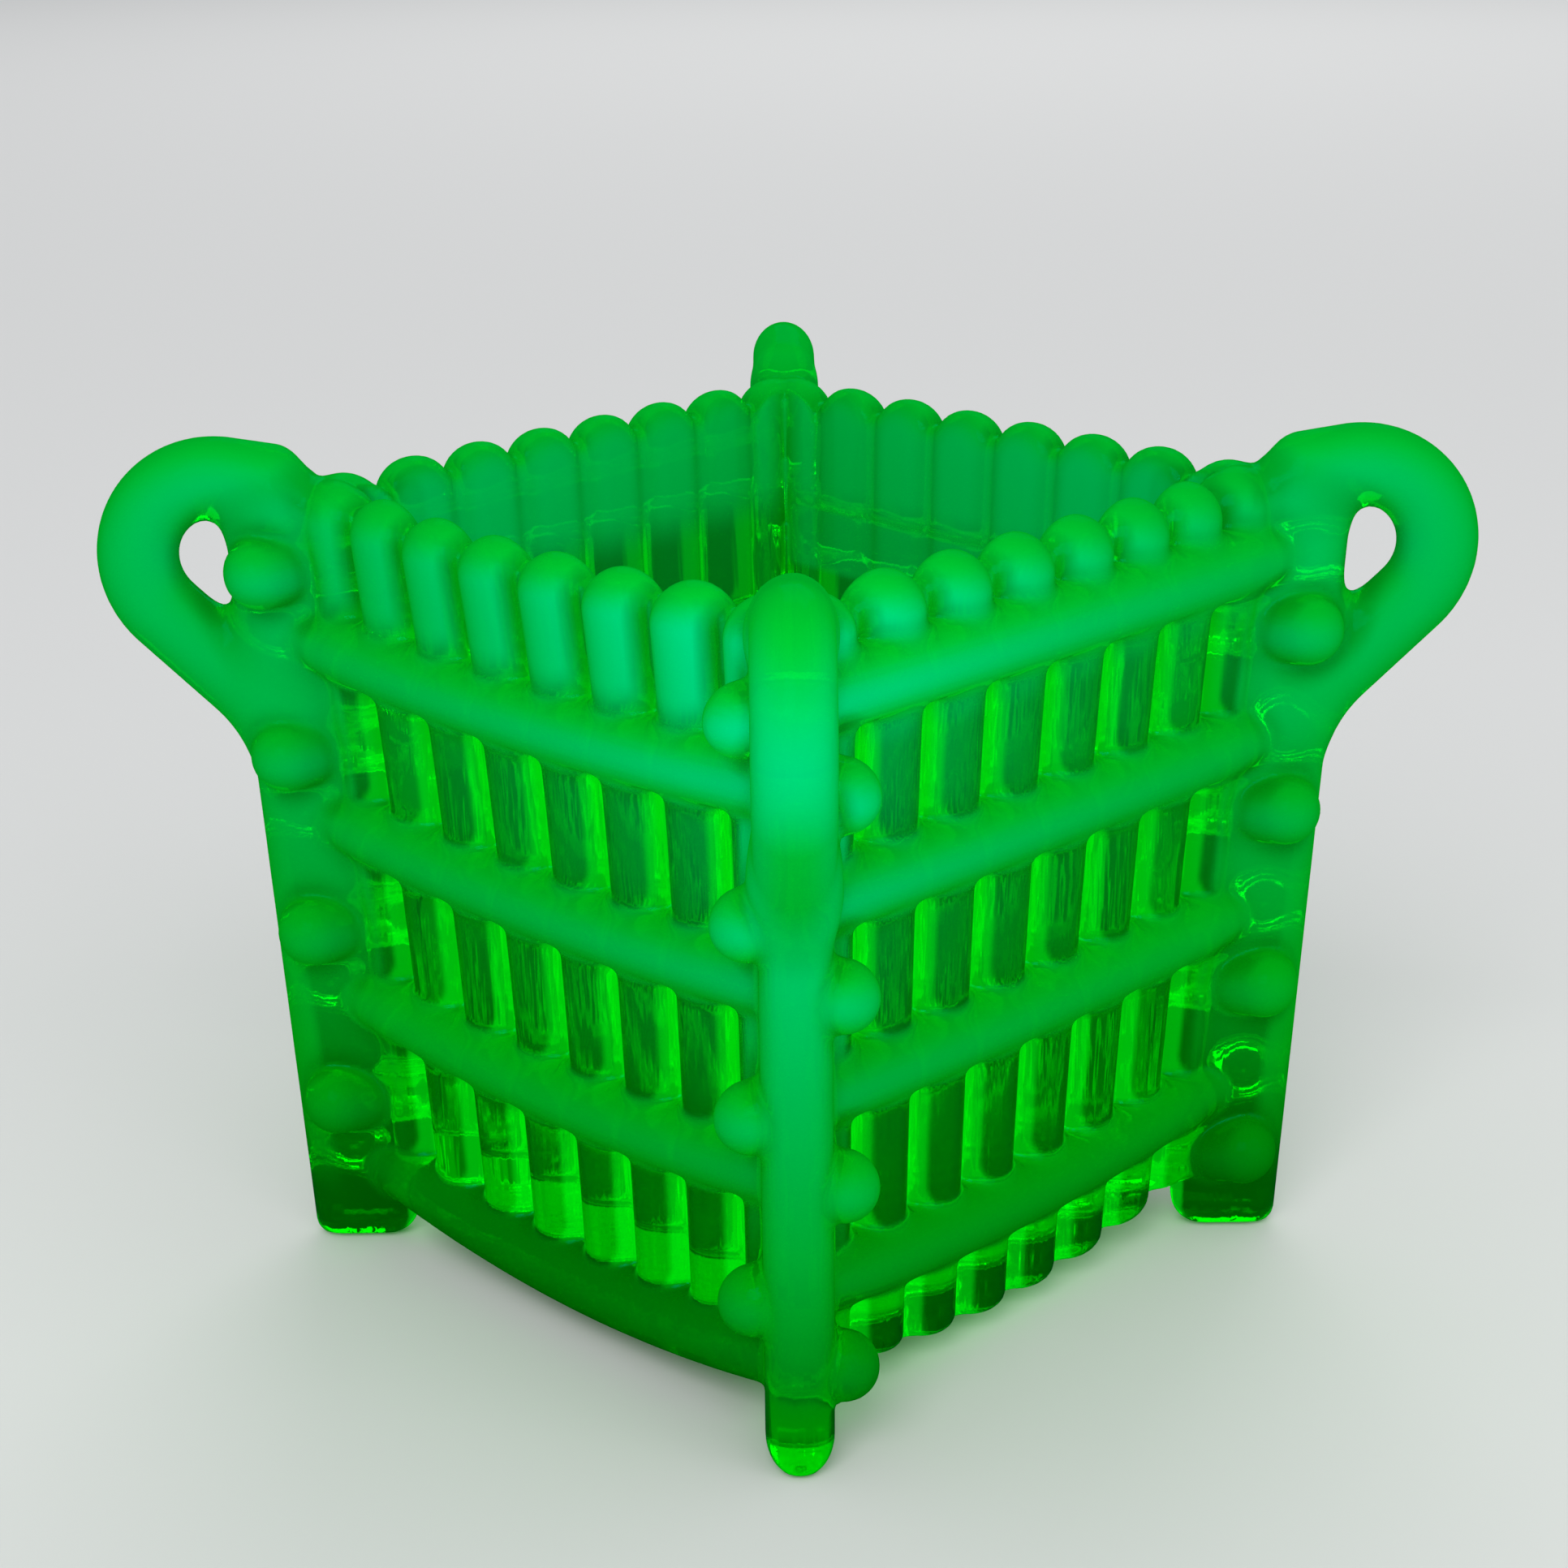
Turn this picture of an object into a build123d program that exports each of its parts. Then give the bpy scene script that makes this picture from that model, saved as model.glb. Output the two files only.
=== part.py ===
from build123d import *

import os
from math import atan, cos, degrees, radians, sin, sqrt

# Square pressed-glass posy basket in the "log basket" style.
#
# Four reeded walls lean outwards from a thick floor. Round bars lie across the reeds
# and end in balls past the corners. Each corner has an upright fin that forms the foot
# below and carries a ring handle above.
#
# Units are millimetres. The origin is the centre of the base, on the plane that the
# feet stand on. +Z is up, the front wall faces -Y and the right wall faces +X.

os.makedirs("parts", exist_ok=True)

# Vessel
base_half = 32.8            # centre to reed crests, at the foot plane
rim_half = 37.4             # centre to reed crests, at rim height
rim_height = 84.2           # foot plane to the notches between the rim scallops
scallop_rise = 2.4          # rim scallop above its notches
wall_thickness = 6.4        # reed crest to the flat inner face
front_edge = 7.5            # foot plane to the front wall's lower edge, at the corners
front_edge_sag = 4.2        # how far that edge drops at mid wall
side_edge = 6.9             # the same for the side walls
side_edge_sag = 5.0
floor_bottom = 7.2
floor_top = 13.5
lean = (rim_half - base_half) / rim_height

# Upright reeds
reeds_per_wall = 8
reed_field = 0.955          # reeded width as a share of the wall's full width
groove_depth = 3.0          # reed crest to groove, at the rim

# Crossing bars
bar_radius = 3.6
bar_inset = 1.5             # bar axis behind the reed crests
ball_reach = 4.3            # ball centre past the neighbouring wall's reed crests
bars_per_wall = 4
bar_pitch = 19.8
front_bar_low = 10.4        # lowest bar of the front and back walls, at the corners
side_bar_low = 17.8         # lowest bar of the side walls, at the corners
front_bar_sag = (4.7, 3.0, 2.0, 1.2)    # lowest bar first
side_bar_sag = (2.8, 0.9, 0.3, 0.0)

# Corner fins with feet, in the diagonal planes
fin_half = 3.85             # half of the fin's thickness
fin_round = 3.2             # rounding of the fin's nose and of the foot's sole
fin_top = 85.6
fin_shoulder = 4.0          # how far the fin's top falls to its nose, under the ring
fin_shoulder_length = 9.0
nose_top = 58.4             # distance of the nose from the centre line, at the top
foot_outer = 53.4           # and at the foot
foot_inner = 41.9
foot_corner_radius = 3.5

# Ring handles, in the diagonal planes
ring_centre = (59.0, 78.0)
ring_radius = 8.4           # to the middle of the ring's bar
ring_bar_radial = 4.2       # half sizes of the ring's oval bar
ring_bar_across = 3.7
ring_start = 150            # where the ring leaves the rim, degrees
ring_end = -45              # where the ring turns into its straight leg, degrees
ring_leg = 19.0

full_height = 95.0          # cutting tools reach past the top of the vessel
faces = {"front": 0, "right": 90, "back": 180, "left": 270}
corners = {"front_right": 0, "back_right": 90, "back_left": 180, "front_left": 270}


def half_at(z):
    """Centre to the reed crests at height z."""
    return base_half + lean * z


def cavity(z_bottom, z_top):
    """The square, tapering space inside the walls between two heights."""
    with BuildPart() as space:
        for z in (z_bottom, z_top):
            with BuildSketch(Plane.XY.offset(z)):
                side = 2 * (half_at(z) - wall_thickness)
                Rectangle(side, side)
        loft(ruled=True)
    return space.part


def reeded_plan(z):
    """Plan outline of the front wall at height z: scalloped outside, flat inside."""
    crest = -half_at(z)
    scale = half_at(z) / rim_half
    groove = crest + groove_depth * scale
    inner = crest + wall_thickness
    pitch = 2 * reed_field * half_at(z) / reeds_per_wall
    end = reeds_per_wall / 2 * pitch
    reed_centres = [(k + 0.5) * pitch - end for k in range(reeds_per_wall)]
    with BuildSketch(Plane.XY.offset(z)) as plan:
        with BuildLine():
            for x in reed_centres:
                left = (x - pitch / 2, groove)
                right = (x + pitch / 2, groove)
                ThreePointArc(left, (x, crest), right)
            Line((end, groove), (-groove, groove))
            Line((-groove, groove), (-inner, inner))
            Line((-inner, inner), (inner, inner))
            Line((inner, inner), (groove, groove))
            Line((groove, groove), (-end, groove))
        make_face()
    return plan


def corner_slab():
    """The full thickness of the fin at the front right corner, as a plain slab."""
    with BuildPart() as slab:
        with BuildSketch(diagonal):
            with Locations((0, 0)):
                Rectangle(2 * rim_half * sqrt(2), full_height, align=(Align.MIN, Align.MIN))
        extrude(amount=fin_half, both=True)
    return slab.part


def reeded_wall(bars, edge, edge_sag):
    """A wall in the front wall's place, cut back for its bars and for the corner fins."""
    with BuildPart() as wall:
        loft([reeded_plan(0).sketch, reeded_plan(full_height).sketch], ruled=True)

        # The scalloped rim.
        pitch = 2 * reed_field * rim_half / reeds_per_wall
        end = reeds_per_wall / 2 * pitch
        with BuildSketch(Plane.XZ):
            with BuildLine():
                for k in range(reeds_per_wall):
                    left = k * pitch - end
                    notch = (left, rim_height)
                    crest = (left + pitch / 2, rim_height + scallop_rise)
                    next_notch = (left + pitch, rim_height)
                    ThreePointArc(notch, crest, next_notch)
                Polyline(
                    (end, rim_height),
                    (2 * end, rim_height),
                    (2 * end, 2 * full_height),
                    (-2 * end, 2 * full_height),
                    (-2 * end, rim_height),
                    (-end, rim_height),
                )
            make_face()
        extrude(amount=2 * rim_half, both=True, mode=Mode.SUBTRACT)

        # The lower edge hangs in a shallow arc.
        corner = half_at(edge)
        with BuildSketch(Plane.XZ):
            with BuildLine():
                ThreePointArc((-corner, edge), (0, edge - edge_sag), (corner, edge))
                Polyline(
                    (corner, edge),
                    (2 * corner, edge),
                    (2 * corner, -full_height),
                    (-2 * corner, -full_height),
                    (-2 * corner, edge),
                    (-corner, edge),
                )
            make_face()
        extrude(amount=2 * rim_half, both=True, mode=Mode.SUBTRACT)

        add(slab, mode=Mode.SUBTRACT)
        add(slab.mirror(Plane.YZ), mode=Mode.SUBTRACT)
        for bar in bars:
            add(bar, mode=Mode.SUBTRACT)
    return wall.part


def crossing_bar(height, sag):
    """A front wall bar with ball ends, which sags towards the middle of the wall."""
    tilt = degrees(atan(lean))
    along = height / cos(radians(tilt))
    wall_plane = Plane(
        origin=(0, -base_half + bar_inset, 0),
        x_dir=(1, 0, 0),
        z_dir=(0, -cos(radians(tilt)), -sin(radians(tilt))),
    )
    end = half_at(height) + ball_reach
    with BuildPart() as bar:
        with BuildLine(wall_plane) as run:
            if sag:
                ThreePointArc((-end, along), (0, along - sag), (end, along))
            else:
                Line((-end, along), (end, along))
        with BuildSketch(Plane(origin=run.line @ 0, z_dir=run.line % 0)):
            Circle(bar_radius)
        sweep()
        with Locations(run.line @ 0, run.line @ 1):
            Sphere(bar_radius)
    return bar.part


def on_nose_or_sole(edge):
    """True for the fin's edges down its nose and around the sole of its foot."""
    place = diagonal.to_local_coords(edge.center())
    on_nose = place.X > foot_outer - foot_corner_radius and place.Y < fin_top - fin_shoulder
    on_sole = place.Y < foot_corner_radius
    return on_nose or on_sole


def corner_fin():
    """The front right fin, from the sole of its foot to the rim, before the bars' holes."""
    with BuildPart() as fin:
        with BuildSketch(diagonal) as outline:
            with BuildLine():
                Polyline(
                    (foot_inner, 0),
                    (foot_outer, 0),
                    (nose_top, fin_top - fin_shoulder),
                    (nose_top - fin_shoulder_length, fin_top),
                    (foot_inner - 12, fin_top),
                    (foot_inner - 12, floor_bottom),
                    (foot_inner, floor_bottom),
                    (foot_inner, 0),
                )
            make_face()
            fillet(outline.vertices().group_by(Axis.Y)[0], foot_corner_radius)
        extrude(amount=fin_half, both=True)
        flanks = fin.faces().filter_by(diagonal)
        fillet(flanks.edges().filter_by(on_nose_or_sole), fin_round)
        add(cavity(0, full_height), mode=Mode.SUBTRACT)
    return fin.part


def ring_handle():
    """The front right ring: a round arc that leaves the rim and a straight leg back down."""
    start = radians(ring_start)
    end = radians(ring_end)
    with BuildPart() as ring:
        with BuildLine(diagonal) as run:
            CenterArc(ring_centre, ring_radius, ring_start, ring_end - ring_start)
            leg_start = (
                ring_centre[0] + ring_radius * cos(end),
                ring_centre[1] + ring_radius * sin(end),
            )
            leg_end = (
                leg_start[0] + ring_leg * sin(end),
                leg_start[1] - ring_leg * cos(end),
            )
            Line(leg_start, leg_end)
        with BuildSketch(Plane(origin=run.line @ 0, x_dir=diagonal.z_dir, z_dir=run.line % 0)):
            Ellipse(ring_bar_across, ring_bar_radial)
        sweep()
    return ring.part


def save(part, label):
    part.label = label
    export_step(part, f"parts/{label}.step")


diagonal = Plane(origin=(0, 0, 0), x_dir=(1, -1, 0), z_dir=(-1, -1, 0))
slab = corner_slab()
plain_fin = corner_fin()
plain_ring = ring_handle()
front_bars = [
    crossing_bar(front_bar_low + k * bar_pitch, front_bar_sag[k]) for k in range(bars_per_wall)
]
side_bars = [
    crossing_bar(side_bar_low + k * bar_pitch, side_bar_sag[k]) for k in range(bars_per_wall)
]
front_wall = reeded_wall(front_bars, front_edge, front_edge_sag)
side_wall = reeded_wall(side_bars, side_edge, side_edge_sag)

with BuildPart() as vessel_floor:
    add(cavity(floor_bottom, floor_top))
save(vessel_floor.part, "floor")

bars = {}
for face, turn in faces.items():
    is_side = face in ("left", "right")
    with BuildPart() as wall:
        add((side_wall if is_side else front_wall).rotate(Axis.Z, turn))
    save(wall.part, f"{face}_wall")

    bars[face] = [bar.rotate(Axis.Z, turn) for bar in (side_bars if is_side else front_bars)]
    for number, turned_bar in enumerate(bars[face], start=1):
        with BuildPart() as bar:
            add(turned_bar)
        save(bar.part, f"{face}_bar_{number}")

for corner, turn in corners.items():
    first_face, second_face = corner.split("_")
    crossing_bars = bars[first_face] + bars[second_face]

    with BuildPart() as fin:
        add(plain_fin.rotate(Axis.Z, turn))
        for turned_bar in crossing_bars:
            add(turned_bar, mode=Mode.SUBTRACT)
    save(fin.part, f"{corner}_fin")

    with BuildPart() as ring:
        add(plain_ring.rotate(Axis.Z, turn))
        add(plain_fin.rotate(Axis.Z, turn), mode=Mode.SUBTRACT)
        for turned_bar in crossing_bars:
            add(turned_bar, mode=Mode.SUBTRACT)
    save(ring.part, f"{corner}_ring")
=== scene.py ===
"""A square pressed uranium-glass posy basket, glowing green as it does under an ultraviolet lamp.

The glass is one continuous pressing, so the whole basket is one mesh. It is the surface
of a distance field: reeds, bars, fins, rings and floor are simple rounded shapes, melted
into one another the way fire-polished glass is. Shapes are worked out in millimetres in
the frame's axes (+Z up, front wall at -Y, right wall at +X).
"""
import math

import bpy
import numpy as np
import openvdb
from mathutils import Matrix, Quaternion, Vector


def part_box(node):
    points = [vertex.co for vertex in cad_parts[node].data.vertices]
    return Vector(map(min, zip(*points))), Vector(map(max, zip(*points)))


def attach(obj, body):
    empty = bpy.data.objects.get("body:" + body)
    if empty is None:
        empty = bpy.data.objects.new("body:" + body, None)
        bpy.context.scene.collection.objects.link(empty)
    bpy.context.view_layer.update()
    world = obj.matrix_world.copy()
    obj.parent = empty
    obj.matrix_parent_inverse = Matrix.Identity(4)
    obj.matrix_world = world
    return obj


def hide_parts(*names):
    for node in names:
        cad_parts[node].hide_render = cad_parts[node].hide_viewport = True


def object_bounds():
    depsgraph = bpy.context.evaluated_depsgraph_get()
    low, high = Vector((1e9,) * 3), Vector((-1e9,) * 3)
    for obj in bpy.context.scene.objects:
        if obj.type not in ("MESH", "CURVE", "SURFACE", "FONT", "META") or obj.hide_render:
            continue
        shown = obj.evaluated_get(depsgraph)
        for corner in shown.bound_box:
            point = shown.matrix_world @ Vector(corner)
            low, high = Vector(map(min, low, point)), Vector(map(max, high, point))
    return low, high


MM = 0.001
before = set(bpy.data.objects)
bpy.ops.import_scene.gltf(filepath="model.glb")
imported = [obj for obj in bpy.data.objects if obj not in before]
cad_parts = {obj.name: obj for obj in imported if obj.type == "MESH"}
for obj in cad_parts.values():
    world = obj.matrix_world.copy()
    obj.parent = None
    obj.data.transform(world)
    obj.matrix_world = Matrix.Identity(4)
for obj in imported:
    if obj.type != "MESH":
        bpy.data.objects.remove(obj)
cad_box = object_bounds()


def top_mm(node):
    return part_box(node)[1] / MM


def bottom_mm(node):
    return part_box(node)[0] / MM


# Vessel
RIM_TOP = top_mm("right_wall").z
SCALLOP_RISE = 2.4          # the reeds' round tops stand this far above the notches between them
RIM_NOTCH = RIM_TOP - SCALLOP_RISE
RIM_HALF = 37.4
BASE_HALF = 32.8
LEAN = (RIM_HALF - BASE_HALF) / RIM_NOTCH
WALL = 6.4
GROOVE = 3.0
REEDS = 8
REED_FIELD = 0.955          # reeded width as a share of the wall's full width
REED_OVERLAP = 0.05
REED_FOOT = 0.6             # height of a reed's rounded foot, as a share of its radius
FLOOR = (bottom_mm("floor").z, top_mm("floor").z)
SLAB_INTO_WALL = 1.0

# Bars: the height of the lowest at its ends, the pitch between them and how far each sags
BAR_RADIUS = 3.6
BAR_INSET = 1.5
BAR_PITCH = 19.8
BALL_REACH = 4.3
FRONT_BARS = (10.4, (4.7, 3.0, 2.0, 1.2))
SIDE_BARS = (17.8, (2.8, 0.9, 0.3, 0.0))
FRONT_EDGE = (7.5, 4.2)     # lower edge of the wall at its ends, and how far it sags
SIDE_EDGE = (6.9, 5.0)
GROOVE_EDGE = (0.7, 1.2)    # a groove looks bright from this far below the reeds' crests
REED_END = 2.6              # the height over which a reed's shade rounds off above a bar
CLEAR_FOOT = (3.0, 14.0)    # the heights over which the feet, and the fins' flanks, turn solid
CLEAR_FLANK = (-4.0, 54.0)
BEHIND_BAR = 0.75           # how solid the inner wall looks where a bar runs behind it
RIM_BAND = (70.0, 76.0)     # above this height the walls look solid

# Corner fins and rings, by distance from the centre line and height
FIN_HALF = 3.85
FIN_ROUND = FIN_HALF - 0.2
FIN_TOP = top_mm("front_right_fin").z
FIN_SLOPE = 0.35            # the fin's top falls this steeply, from here outwards
FIN_SLOPE_START = 49.0
NOSE_TOP = 58.4
FOOT_OUTER = 53.4
FOOT_INNER = 41.9
FIN_ROOT = FOOT_INNER - 14.0
RING_CENTRE = (59.0, 78.0)
RING_RADIUS = 8.4
RING_START = math.radians(100)
RING_TOP_END = (53.3, 85.6)
RING_END = math.radians(-45)
RING_LEG = 16.0
RING_RADIAL = 4.2
RING_ACROSS = 3.7

# Sags of the walls' middles at the rim. They fade out inwards, and as a power of the height.
FRONT_BOW = 2.2
FRONT_DIP = 1.2
RIGHT_BOW = 1.1
SAG_RISE = 4
SAG_EDGE = (20.0, 30.0)

# Fillets where features meet, and rounded edges
REED_FILLET = 0.5
BAR_FILLET = 1.3
FLOOR_FILLET = 2.5
RING_FILLET = 3.4
CORNER_FILLET = 0.8
PLATE_EDGE = 1.5
PLATE_END_EDGE = 0.5
INNER_EDGE = 2.2
FLOOR_EDGE = 0.5
SOLE_EDGE = 2.0
FOOT_INNER_EDGE = 4.0
FOOT_TOP_EDGE = 1.0
FIN_TOP_EDGE = 3.0

# Where the glass looks thick, grooved or open. Each pair is where a fade starts and ends.
NEAR_FIN = (1.8, 1.0)       # off the fins and rings
NEAR_BAR = (0.9, 0.2)       # off the bars
NOSE_BAND = (5.0, 2.5)      # behind the front of a fin's nose
BAND_EDGE = 0.5             # half the fade at the edges of the band behind a bar
INNER_FACE = (-2.0, -0.5)   # out from the walls' inner faces
OUTER_SIDE = (0.5, 1.5)
ABOVE_BAR = 0.9             # extra groove depth just above a bar
OUTER_FACE = (0.7 * WALL, 0.6 * WALL)
FIELD_EDGE = (0.99, 0.94)   # shares of the reeded width
OPEN_REACHES = (1.2, 3.5)   # how far out along the normal openness is felt for

VOXEL = 0.42
FAR = 1000.0
MARGIN = 2.0
BAND_VOXELS = 3

# Camera and lights, in metres
LIGHT_AIM = Vector((0.0, 0.0, 0.045))
KEY_LIGHT = ((0.45, -0.75, 0.75), 0.6, 6.0)     # place, size and power
FILL_LIGHT = ((0.9, -0.1, 0.5), 0.9, 3.0)
RIM_LIGHT = ((-0.9, 1.2, 1.1), 1.2, 8.0)
SKY_COLOUR = (0.9, 0.92, 0.95, 1)
SKY_STRENGTH = (0.7, 0.06)                      # seen straight, and seen by way of the glass
FLOOR_COLOUR = (0.66, 0.66, 0.65, 1)
DIM_FLOOR_COLOUR = (0.05, 0.06, 0.05, 1)
FLOOR_SIZE = 6.0
WHITE = (1, 1, 1, 1)
SENSOR_WIDTH = 36.0
LENS = 69.3
CAMERA_AIM = Vector((-0.0005, -0.0005, 0.0522))
CAMERA_DISTANCE = 0.3217
CAMERA_TURN = math.radians(44.86)
CAMERA_LIFT = math.radians(19.18)
CAMERA_ROLL = math.radians(-0.67)

# The glass: what one crossing of its surface lets through, and the light inside it, a painted glow
GLASS_IOR = 1.5
GLASS_ROUGHNESS = 0.1
MIRROR_ROUGHNESS = 0.08
GLASS_TINT = (0.0, 0.88, 0.03, 1)
MIRROR_TINT = (0.0, 0.35, 0.25, 1)
DEEP_COLOUR = (0.0, 0.97, 0.3, 1)
DEEP_DENSITY = 500.0
INNER_LIGHT = (0.0, 1.0, 0.01, 1)
INNER_STRENGTH = 9.0
GROOVE_LIGHT = (0.0, 0.28, 0.003, 1)
GROOVE_INWARD = 0.9

# The skin: its green at the feet, low on the walls and at the rim, darker low down as painted
# shade, and the painted glow and sheen of an imagined lamp
SKIN_FOOT = (0.0, 0.07, 0.0, 1)
SKIN_LOW = (0.0, 0.24, 0.003, 1)
SKIN_RIM = (0.0, 0.28, 0.015, 1)
SKIN_HEIGHTS = (0.002, 0.025, 0.088)
SKIN_LIGHT = 0.35
LAMP_GLOW = (0.0, 0.36, 0.02, 1)
LAMP_SHEEN = (0.0, 0.1, 0.27, 1)
LAMP_PLACE = Vector((0.11, -0.11, 0.068))
LAMP_REACH = 0.11           # the lamp's glow is full this near it, and falls with distance
LAMP_FALL = 3.0
LAMP_CLIMB = 1.7            # the glow grows as this power of the height
LAMP_WRAP = -0.3            # the broad glow ends where the normal's cosine to the lamp is this
SHEEN_UPRIGHT = 3.0         # the sheen keeps to upright surfaces, as this power
THIN_SHARE = (0.04, 0.3)    # near the floor, and up under the rim
THICK_SHARE = 0.92
CREASE_SHARE = 0.5
RIPPLES = (800.0, 800.0, 45.0)
RIPPLE_DEPTH = 0.0003
RIPPLE_STRENGTH = 0.5
RIPPLE_DETAIL = 2.0
THICK_RIPPLE = 0.25         # how much of the ripple thick glass keeps


def melt(a, b, blend):
    """The union of two distance fields, with a fillet about as wide as blend."""
    near = np.maximum(blend - np.abs(a - b), 0.0) / blend
    return np.minimum(a, b) - near * near * blend * 0.25


def carve(a, b, blend):
    """What two distance fields share, with a rounded edge."""
    return -melt(-a, -b, blend)


def half_at(z):
    return BASE_HALF + LEAN * z


def bar_axis(u, low, sag, k):
    """How far from the middle a bar's axis ends, and its height at u."""
    height = low + k * BAR_PITCH
    end = half_at(height) + BALL_REACH
    return end, height - sag * (1 - np.minimum(u / end, 1.0) ** 2)


def bar_field(u, n, z, low, sag, k):
    """A crossing bar: u runs along its wall from the middle, n is outwards."""
    end, height = bar_axis(u, low, sag, k)
    outward = n - (half_at(z) - BAR_INSET)
    past_end = np.maximum(u - end, 0.0)
    return np.sqrt(outward**2 + (z - height) ** 2 + past_end**2) - BAR_RADIUS


def wall_field(u, n, z, edge, bars):
    """One wall with its reeds and bars."""
    crest = half_at(z)
    pitch = REED_FIELD * crest * 2 / REEDS
    rod = pitch / 2 + REED_OVERLAP
    index = np.minimum(np.floor(u / pitch), REEDS / 2 - 1)
    across = u - (index + 0.5) * pitch
    low = edge[0] - edge[1] * (1 - np.minimum(u / crest, 1.0) ** 2)

    top_cap = np.maximum(z - (RIM_TOP - rod), 0.0)
    low_cap = np.maximum(low + REED_FOOT * rod - z, 0.0) / REED_FOOT
    reed = np.sqrt(across**2 + (n - crest + rod) ** 2 + top_cap**2 + low_cap**2) - rod

    plate = np.maximum(n - (crest - GROOVE * crest / RIM_HALF), crest - WALL - n)
    plate = carve(plate, z - RIM_NOTCH, PLATE_EDGE)
    plate = carve(plate, low - z, PLATE_EDGE)
    plate = carve(plate, u - crest, PLATE_END_EDGE)
    wall = melt(plate, reed, REED_FILLET)
    wall = carve(wall, crest - WALL - n, INNER_EDGE)
    for k, sag in enumerate(bars[1]):
        wall = melt(wall, bar_field(u, n, z, bars[0], sag, k), BAR_FILLET)
    return wall


def nose_at(z):
    """How far out along the diagonal a fin's nose is."""
    return FOOT_OUTER + (NOSE_TOP - FOOT_OUTER) * z / FIN_TOP


def fin_field(s, t, z):
    """The corner fin: s is the distance out along the diagonal, t is across the fin."""
    past_nose = np.maximum(s - (nose_at(z) - FIN_ROUND), 0.0)
    past_side = np.maximum(np.abs(t) - (FIN_HALF - FIN_ROUND), 0.0)
    body = np.sqrt(past_nose**2 + past_side**2) - FIN_ROUND
    past_sole = np.maximum(FIN_ROUND - z, 0.0)
    sole = np.sqrt(past_sole**2 + past_side**2) - FIN_ROUND
    body = carve(body, sole, SOLE_EDGE)
    foot = carve(body, FOOT_INNER - s, FOOT_INNER_EDGE)
    foot = carve(foot, z - FLOOR[1], FOOT_TOP_EDGE)
    top = z - FIN_TOP + FIN_SLOPE * np.maximum(s - FIN_SLOPE_START, 0.0)
    upper = np.maximum(carve(body, top, FIN_TOP_EDGE), FLOOR[0] - z)
    return np.minimum(foot, np.maximum(upper, FIN_ROOT - s))


def from_line(a, b, start, end):
    """The distance in a plane from points (a, b) to the line between two points."""
    way = end - start
    part = np.clip(((a - start[0]) * way[0] + (b - start[1]) * way[1]) / (way @ way), 0.0, 1.0)
    return np.hypot(a - start[0] - part * way[0], b - start[1] - part * way[1])


def ring_field(s, t, z):
    """The ring handle: an arc, with a leg down to the fin and a short one in along its top."""
    ds, dz = s - RING_CENTRE[0], z - RING_CENTRE[1]
    angle = np.arctan2(dz, ds)
    on_arc = (angle > RING_END) & (angle < RING_START)
    to_arc = np.where(on_arc, np.abs(np.hypot(ds, dz) - RING_RADIUS), FAR)
    start = RING_RADIUS * np.array([math.cos(RING_START), math.sin(RING_START)])
    inner = np.array(RING_TOP_END) - RING_CENTRE
    leg = RING_RADIUS * np.array([math.cos(RING_END), math.sin(RING_END)])
    foot = leg + RING_LEG * np.array([math.sin(RING_END), -math.cos(RING_END)])
    to_start = from_line(ds, dz, start, inner)
    to_leg = from_line(ds, dz, leg, foot)
    reach = np.minimum(np.minimum(to_arc, to_start), to_leg)
    mean = (RING_RADIAL + RING_ACROSS) / 2
    return np.hypot(reach * mean / RING_RADIAL, t * mean / RING_ACROSS) - mean


def basket_field(x, y, z):
    """The distance field of a quarter of the basket: x from 0 up, y from 0 down."""
    n_front, n_side = -y, x
    front = wall_field(x, n_front, z, FRONT_EDGE, FRONT_BARS)
    side = wall_field(-y, n_side, z, SIDE_EDGE, SIDE_BARS)
    glass = np.minimum(front, side)

    inner = half_at(z) - WALL
    inside = np.maximum(n_front, n_side) - inner
    slab = carve(np.maximum(inside - SLAB_INTO_WALL, FLOOR[0] - z), z - FLOOR[1], FLOOR_EDGE)
    glass = melt(glass, slab, FLOOR_FILLET)

    s = (x - y) / math.sqrt(2)
    t = (x + y) / math.sqrt(2)
    fin = np.maximum(fin_field(s, t, z), -np.maximum(inside, FLOOR[0] - z))
    corner = melt(fin, ring_field(s, t, z), RING_FILLET)
    return melt(glass, corner, CORNER_FILLET)


def fade(value, start, end):
    """A smooth step from 0 at start to 1 at end."""
    part = np.clip((value - start) / (end - start), 0.0, 1.0)
    return part * part * (3 - 2 * part)


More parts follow.
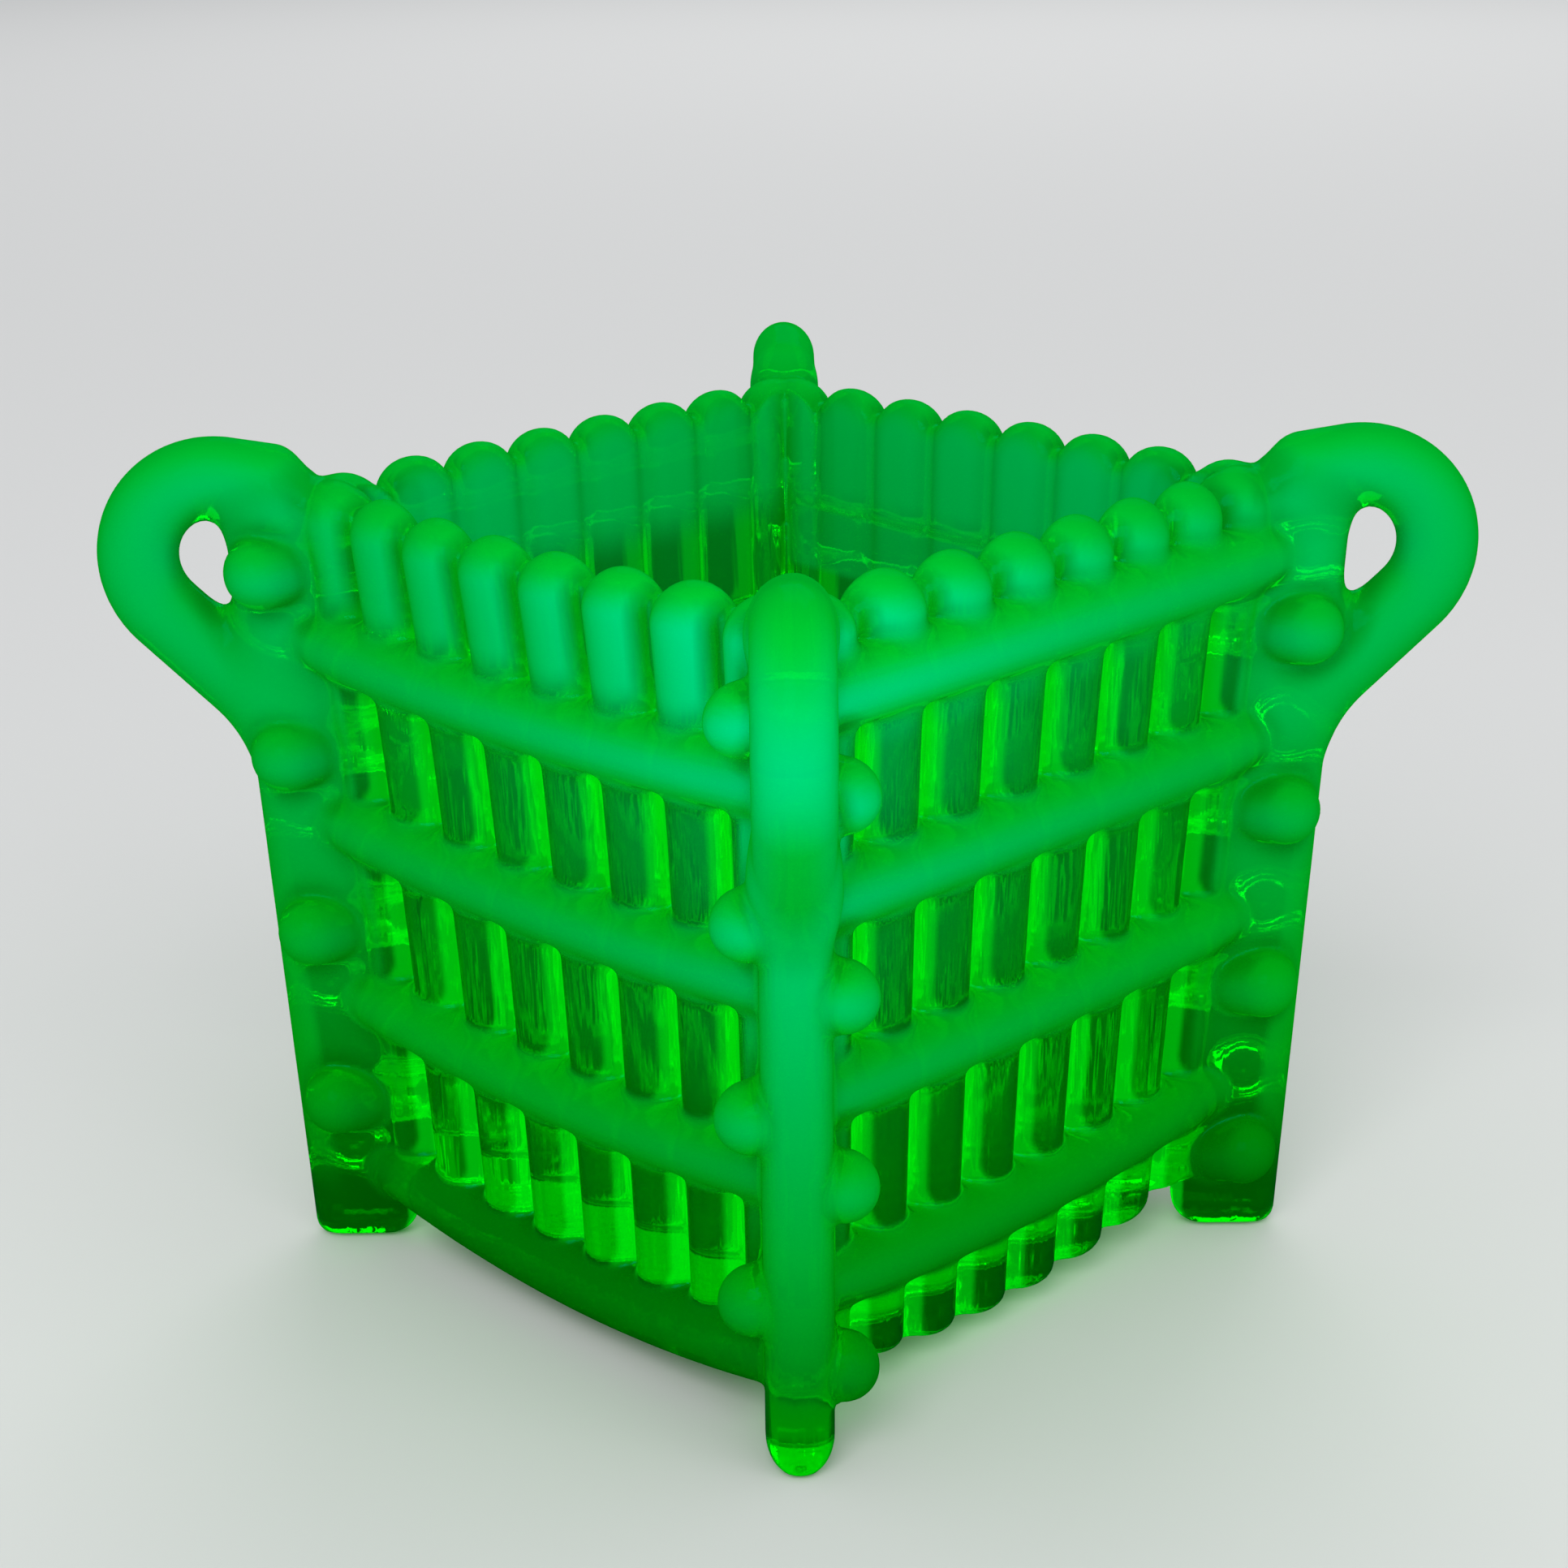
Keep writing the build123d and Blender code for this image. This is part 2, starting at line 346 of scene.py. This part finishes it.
def thickness(points):
    """1 on the bars, rings, rim band and fin noses, less on fin flanks and behind the bars."""
    x, y, z = np.abs(points[:, 0]), -np.abs(points[:, 1]), points[:, 2]
    s, t = (x - y) / math.sqrt(2), (x + y) / math.sqrt(2)
    nose = nose_at(z)
    solid_nose = fade(s, nose - NOSE_BAND[0], nose - NOSE_BAND[1])
    fin = np.maximum(fade(z, *CLEAR_FLANK), solid_nose) * fade(z, *CLEAR_FOOT)
    shown = fin * fade(fin_field(s, t, z), *NEAR_FIN)
    shown = np.maximum(shown, fade(ring_field(s, t, z), *NEAR_FIN))
    nearest = np.full_like(z, FAR)
    behind = np.zeros_like(z)
    for u, n, (low, sags) in ((x, -y, FRONT_BARS), (-y, x, SIDE_BARS)):
        for k, sag in enumerate(sags):
            nearest = np.minimum(nearest, bar_field(u, n, z, low, sag, k))
            off_axis = np.abs(z - bar_axis(u, low, sag, k)[1])
            band = fade(off_axis, BAR_RADIUS + BAND_EDGE, BAR_RADIUS - BAND_EDGE)
            on_face = (n > u) * fade(n - half_at(z) + WALL, *INNER_FACE)
            behind = np.maximum(behind, band * on_face)
    shown = np.maximum(shown, fade(nearest, *NEAR_BAR))
    outside = fade(np.maximum(x, -y) - half_at(z) + WALL, *OUTER_SIDE)
    shown = shown * outside + BEHIND_BAR * behind * (1 - outside)
    return np.maximum(shown, fade(z, *RIM_BAND))


def groove_share(points):
    """1 in the grooves between reeds on the walls' outer faces, wider just above each bar: where
    the grooves' painted glow goes.
    """
    x, y, z = np.abs(points[:, 0]), -np.abs(points[:, 1]), points[:, 2]
    crest = half_at(z)
    n, across = np.maximum(x, -y), np.minimum(x, -y)
    above_bar = np.zeros_like(z)
    for u, outwards, (low, sags) in ((x, -y, FRONT_BARS), (-y, x, SIDE_BARS)):
        for k, sag in enumerate(sags):
            rise = z - bar_axis(u, low, sag, k)[1] - BAR_RADIUS
            close = np.clip(1 - rise / REED_END, 0.0, 1.0) * (rise > -BAR_RADIUS) * (outwards > u)
            above_bar = np.maximum(above_bar, close)
    depth = crest - n + ABOVE_BAR * above_bar**2
    outer_face = fade(crest - n, *OUTER_FACE)
    in_field = fade(across / (REED_FIELD * crest), *FIELD_EDGE)
    return fade(depth, *GROOVE_EDGE) * outer_face * in_field * (1 - thickness(points))


def openness(points, normals):
    """1 on open surfaces, falling towards 0 in creases, where the field grows slowly outwards."""
    found = 1.0
    for reach in OPEN_REACHES:
        x, y, z = (points + reach * normals).T
        found = found * np.clip(basket_field(np.abs(x), -np.abs(y), z) / reach, 0.0, 1.0)
    return found


def slump(points):
    """The pressing's sags: the front wall's rim bows out and dips, the right wall's bows out."""
    x, y, z = points.T
    height = np.clip(z / RIM_TOP, 0.0, 1.0) ** SAG_RISE
    front = fade(-y, *SAG_EDGE) * np.clip(1 - (x / RIM_HALF) ** 2, 0.0, 1.0) * height
    right = fade(x, *SAG_EDGE) * np.clip(1 - (y / RIM_HALF) ** 2, 0.0, 1.0) * height
    return np.stack([x + RIGHT_BOW * right, y - FRONT_BOW * front, z - FRONT_DIP * front], axis=1)


def glass_mesh(name):
    """Meshes the whole basket by mirroring the quarter's field in both wall planes."""
    lo = np.array([0.0, -cad_box[1].x / MM - MARGIN, -MARGIN])
    hi = np.array([cad_box[1].x / MM + MARGIN, 0.0, cad_box[1].z / MM + MARGIN])
    count = np.ceil((hi - lo) / VOXEL).astype(int)
    xs = (np.arange(count[0]) + 0.5) * VOXEL
    ys = -xs
    zs = lo[2] + np.arange(count[2]) * VOXEL
    quarter = np.empty((count[0], count[0], count[2]), np.float32)
    for i in range(count[0]):
        x, y, z = np.meshgrid(xs[i : i + 1], ys, zs, indexing="ij")
        quarter[i] = basket_field(x, y, z)[0]
    right = np.concatenate([quarter[:, ::-1], quarter], axis=1)[:, ::-1]
    whole = np.concatenate([right[::-1], right], axis=0)
    band = BAND_VOXELS * VOXEL
    grid = openvdb.FloatGrid(band)
    grid.copyFromArray(np.ascontiguousarray(np.clip(whole, -band, band)))
    points, _, quads = grid.convertToPolygons(isovalue=0.0, adaptivity=0.0)
    place = np.array([-(count[0] - 0.5) * VOXEL, -(count[0] - 0.5) * VOXEL, lo[2]])
    points = (points * VOXEL + place) * MM
    mesh = bpy.data.meshes.new(name)
    mesh.from_pydata(points.tolist(), [], quads.tolist())
    mesh.shade_smooth()
    normals = np.empty((len(points), 3), np.float32)
    mesh.vertex_normals.foreach_get("vector", normals.ravel())
    shares = {
        "thick": thickness(points / MM),
        "groove": groove_share(points / MM),
        "open": openness(points / MM, normals),
    }
    for key, values in shares.items():
        attribute = mesh.attributes.new(key, "FLOAT", "POINT")
        attribute.data.foreach_set("value", values.astype(np.float32))
    mesh.vertices.foreach_set("co", (slump(points / MM) * MM).astype(np.float32).ravel())
    mesh.update()
    return mesh


def adder(tree):
    """Empties a node tree and gives a function that adds nodes, with their values or links."""
    tree.nodes.clear()

    def add(kind, **inputs):
        node = tree.nodes.new(kind)
        for key, value in inputs.items():
            if key.startswith("set_"):
                setattr(node, key[4:], value)
                continue
            socket = node.inputs[int(key[3:]) if key.startswith("in_") else key.replace("_", " ")]
            if isinstance(value, bpy.types.NodeSocket):
                tree.links.new(value, socket)
            else:
                socket.default_value = value
        return node

    return add


def nodes_for(name):
    """A new material, its node tree and a function that adds nodes to it."""
    material = bpy.data.materials.new(name)
    material.use_nodes = True
    return material, material.node_tree, adder(material.node_tree)


def uranium_glass():
    """Green glass with painted light: a glow grows inside it, and its skin glows on the side of an
    imagined lamp, fading towards the feet.
    """
    material, tree, add = nodes_for("uranium_glass")
    shape = add("ShaderNodeNewGeometry")
    outside = add("ShaderNodeMath", set_operation="SUBTRACT", in_0=1.0,
                  in_1=shape.outputs["Backfacing"])

    # Drawn-out ripples down the thin panels
    thick = add("ShaderNodeAttribute", set_attribute_name="thick")
    drawn = add("ShaderNodeVectorMath", set_operation="MULTIPLY", in_0=shape.outputs["Position"],
                in_1=RIPPLES)
    ripple = add("ShaderNodeTexNoise", Vector=drawn.outputs[0], Scale=1.0,
                 Detail=RIPPLE_DETAIL)
    thinness = add("ShaderNodeMapRange", Value=thick.outputs["Fac"], To_Min=RIPPLE_STRENGTH,
                   To_Max=RIPPLE_STRENGTH * THICK_RIPPLE)
    bumps = add("ShaderNodeBump", Height=ripple.outputs[0], Distance=RIPPLE_DEPTH,
                Strength=thinness.outputs[0]).outputs[0]

    # Clear green glass, whose mirror is clean inside and tinted outside: real reflections of the
    # studio lights, painted green-cyan as a lamp's reflection would be.
    bent = add("ShaderNodeBsdfRefraction", Color=GLASS_TINT,
               Roughness=GLASS_ROUGHNESS, IOR=GLASS_IOR, Normal=bumps)
    mirror_tint = add("ShaderNodeMix", set_data_type="RGBA", Factor=outside.outputs[0],
                      in_6=WHITE, in_7=MIRROR_TINT)
    mirror = add("ShaderNodeBsdfGlossy", Color=mirror_tint.outputs[2],
                 Roughness=MIRROR_ROUGHNESS, Normal=bumps)
    edge = add("ShaderNodeFresnel", IOR=GLASS_IOR)
    clear = add("ShaderNodeMixShader", in_0=edge.outputs[0], in_1=bent.outputs[0],
                in_2=mirror.outputs[0])

    # The skin is pure green and darker towards the feet, painted shade where the glow falls off.
    # The imagined lamp adds a painted bluer glow that grows towards the rim.
    place = add("ShaderNodeSeparateXYZ", Vector=shape.outputs["Position"])
    low = add("ShaderNodeMapRange", Value=place.outputs["Z"], From_Min=SKIN_HEIGHTS[0],
              From_Max=SKIN_HEIGHTS[1])
    high = add("ShaderNodeMapRange", Value=place.outputs["Z"], From_Min=SKIN_HEIGHTS[1],
               From_Max=SKIN_HEIGHTS[2])
    lower = add("ShaderNodeMix", set_data_type="RGBA", Factor=low.outputs[0], in_6=SKIN_FOOT,
                in_7=SKIN_LOW)
    colour = add("ShaderNodeMix", set_data_type="RGBA", Factor=high.outputs[0],
                 in_6=lower.outputs[2], in_7=SKIN_RIM).outputs[2]
    matt = add("ShaderNodeBsdfDiffuse", Color=colour)
    # Painted glow: the skin emits its height-graded green though it is no lamp.
    painted_skin_glow = add("ShaderNodeEmission", Color=colour, Strength=SKIN_LIGHT)
    body = add("ShaderNodeAddShader", in_0=matt.outputs[0], in_1=painted_skin_glow.outputs[0])
    # Painted light and sheen from an imagined ultraviolet lamp close to the rim's front right
    # corner: emission shaded by the normal's angle to it, its distance and the height
    to_lamp = add("ShaderNodeVectorMath", set_operation="SUBTRACT", in_0=LAMP_PLACE,
                  in_1=shape.outputs["Position"])
    away = add("ShaderNodeVectorMath", set_operation="LENGTH", in_0=to_lamp.outputs[0])
    way = add("ShaderNodeVectorMath", set_operation="NORMALIZE", in_0=to_lamp.outputs[0])
    lamp = add("ShaderNodeVectorMath", set_operation="DOT_PRODUCT", in_0=shape.outputs["Normal"],
               in_1=way.outputs[0])
    facing = add("ShaderNodeClamp", Value=lamp.outputs["Value"])
    around = add("ShaderNodeMapRange", Value=lamp.outputs["Value"], From_Min=LAMP_WRAP)
    normal = add("ShaderNodeSeparateXYZ", Vector=shape.outputs["Normal"])
    tilt = add("ShaderNodeMath", set_operation="POWER", in_0=normal.outputs["Z"], in_1=2.0)
    level = add("ShaderNodeMath", set_operation="SUBTRACT", in_0=1.0, in_1=tilt.outputs[0])
    upright = add("ShaderNodeMath", set_operation="POWER", in_0=level.outputs[0],
                  in_1=SHEEN_UPRIGHT)
    sharp = add("ShaderNodeMath", set_operation="MULTIPLY", in_0=facing.outputs[0],
                in_1=upright.outputs[0])
    reach = add("ShaderNodeMapRange", Value=place.outputs["Z"], From_Max=SKIN_HEIGHTS[2])
    climb = add("ShaderNodeMath", set_operation="POWER", in_0=reach.outputs[0],
                in_1=LAMP_CLIMB)
    nearness = add("ShaderNodeMath", set_operation="DIVIDE", in_0=LAMP_REACH,
                   in_1=away.outputs["Value"])
    falling = add("ShaderNodeMath", set_operation="POWER", in_0=nearness.outputs[0],
                  in_1=LAMP_FALL)
    capped = add("ShaderNodeClamp", Value=falling.outputs[0])
    arriving = add("ShaderNodeMath", set_operation="MULTIPLY", in_0=climb.outputs[0],
                   in_1=capped.outputs[0])
    # Painted shade: the lamp's painted glow and sheen are darkened in creases, where the openness
    # share falls.
    bare = add("ShaderNodeAttribute", set_attribute_name="open")
    lit = add("ShaderNodeMath", set_operation="MULTIPLY", in_0=arriving.outputs[0],
              in_1=bare.outputs["Fac"])
    broad_light = add("ShaderNodeMath", set_operation="MULTIPLY", in_0=lit.outputs[0],
                      in_1=around.outputs[0])
    sharp_light = add("ShaderNodeMath", set_operation="MULTIPLY", in_0=lit.outputs[0],
                      in_1=sharp.outputs[0])
    glow = add("ShaderNodeEmission", Color=LAMP_GLOW, Strength=broad_light.outputs[0])
    sheen = add("ShaderNodeEmission", Color=LAMP_SHEEN, Strength=sharp_light.outputs[0])
    lamp_light = add("ShaderNodeAddShader", in_0=glow.outputs[0], in_1=sheen.outputs[0])
    skin = add("ShaderNodeAddShader", in_0=body.outputs[0], in_1=lamp_light.outputs[0])

    # Thick glass hides what is behind it; the reeded panels, the feet and creases stay clear.
    # The skin, and with it its painted glow, shows more towards the rim.
    thin = add("ShaderNodeMapRange", Value=place.outputs["Z"], From_Min=SKIN_HEIGHTS[1],
               From_Max=SKIN_HEIGHTS[2], To_Min=THIN_SHARE[0], To_Max=THIN_SHARE[1])
    share = add("ShaderNodeMapRange", Value=thick.outputs["Fac"], To_Min=thin.outputs[0],
                To_Max=THICK_SHARE)
    crease = add("ShaderNodeMapRange", Value=bare.outputs["Fac"], To_Min=CREASE_SHARE)
    creased = add("ShaderNodeMath", set_operation="MULTIPLY", in_0=share.outputs[0],
                  in_1=crease.outputs[0])
    shown = add("ShaderNodeMath", set_operation="MULTIPLY", in_0=creased.outputs[0],
                in_1=outside.outputs[0])
    mixed = add("ShaderNodeMixShader", in_0=shown.outputs[0], in_1=clear.outputs[0],
                in_2=skin.outputs[0])

    # Painted light: the grooves glow, standing in for light trapped in the panels that leaves by
    # them.
    deep = add("ShaderNodeAttribute", set_attribute_name="groove")
    both_ways = add("ShaderNodeMapRange", Value=outside.outputs[0], To_Min=GROOVE_INWARD)
    leaving = add("ShaderNodeMath", set_operation="MULTIPLY", in_0=deep.outputs["Fac"],
                  in_1=both_ways.outputs[0])
    groove = add("ShaderNodeEmission", Color=GROOVE_LIGHT, Strength=leaving.outputs[0])
    surface = add("ShaderNodeAddShader", in_0=mixed.outputs[0], in_1=groove.outputs[0])

    absorb = add("ShaderNodeVolumeAbsorption", Color=DEEP_COLOUR, Density=DEEP_DENSITY)
    # Painted glow: the volume emits green though it is no lamp.
    shine = add("ShaderNodeEmission", Color=INNER_LIGHT, Strength=INNER_STRENGTH)
    inside = add("ShaderNodeAddShader", in_0=absorb.outputs[0], in_1=shine.outputs[0])
    output = add("ShaderNodeOutputMaterial")
    tree.links.new(surface.outputs[0], output.inputs["Surface"])
    tree.links.new(inside.outputs[0], output.inputs["Volume"])
    return material


def seen_by_glass(add):
    """1 for a ray that comes through or off the glass, which is to find a dim room, else 0."""
    path = add("ShaderNodeLightPath")
    return add("ShaderNodeMath", set_operation="MAXIMUM", in_0=path.outputs["Is Transmission Ray"],
               in_1=path.outputs["Is Glossy Ray"]).outputs[0]


def floor_material():
    material, tree, add = nodes_for("pale_floor")
    # Painted shade: seen through or off the glass the floor turns dark, for a dim room; seen
    # straight it is pale.
    colour = add("ShaderNodeMix", set_data_type="RGBA", Factor=seen_by_glass(add),
                 in_6=FLOOR_COLOUR, in_7=DIM_FLOOR_COLOUR)
    surface = add("ShaderNodeBsdfDiffuse", Color=colour.outputs[2])
    output = add("ShaderNodeOutputMaterial")
    tree.links.new(surface.outputs[0], output.inputs["Surface"])
    return material


def add_world():
    """An even pale studio, dim where it is seen through the glass."""
    world = bpy.data.worlds.new("studio")
    world.use_nodes = True
    add = adder(world.node_tree)
    strength = add("ShaderNodeMapRange", Value=seen_by_glass(add), To_Min=SKY_STRENGTH[0],
                   To_Max=SKY_STRENGTH[1])
    light = add("ShaderNodeBackground", Color=SKY_COLOUR, Strength=strength.outputs[0])
    output = add("ShaderNodeOutputWorld")
    world.node_tree.links.new(light.outputs[0], output.inputs["Surface"])
    bpy.context.scene.world = world


def soft_light(name, place, size, power):
    """A square area light that faces the basket's middle."""
    data = bpy.data.lights.new(name, "AREA")
    data.size = size
    data.energy = power
    light = bpy.data.objects.new(name, data)
    light.location = place
    light.rotation_euler = (LIGHT_AIM - light.location).to_track_quat("-Z", "Y").to_euler()
    bpy.context.scene.collection.objects.link(light)


def add_camera():
    """The view along the front right corner, from a little above."""
    data = bpy.data.cameras.new("camera")
    data.sensor_width = SENSOR_WIDTH
    data.lens = LENS
    camera = bpy.data.objects.new("camera", data)
    flat, up = math.cos(CAMERA_LIFT), math.sin(CAMERA_LIFT)
    back = Vector((math.sin(CAMERA_TURN) * flat, -math.cos(CAMERA_TURN) * flat, up))
    camera.location = CAMERA_AIM + back * CAMERA_DISTANCE
    level = (-back).to_track_quat("-Z", "Y")
    roll = Quaternion((0, 0, 1), CAMERA_ROLL)
    camera.rotation_euler = (level @ roll).to_euler()
    bpy.context.scene.collection.objects.link(camera)
    bpy.context.scene.camera = camera


basket = bpy.data.objects.new("glass_basket", glass_mesh("glass_basket"))
bpy.context.scene.collection.objects.link(basket)
basket.data.materials.append(uranium_glass())
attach(basket, "root")
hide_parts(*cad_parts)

bpy.ops.mesh.primitive_plane_add(size=FLOOR_SIZE, location=(0, 0, 0))
floor = bpy.context.object
floor.name = "pale_floor"
floor.data.materials.append(floor_material())

add_world()
soft_light("key", *KEY_LIGHT)
soft_light("fill", *FILL_LIGHT)
soft_light("rim", *RIM_LIGHT)
add_camera()
bpy.context.scene.view_settings.view_transform = "Standard"
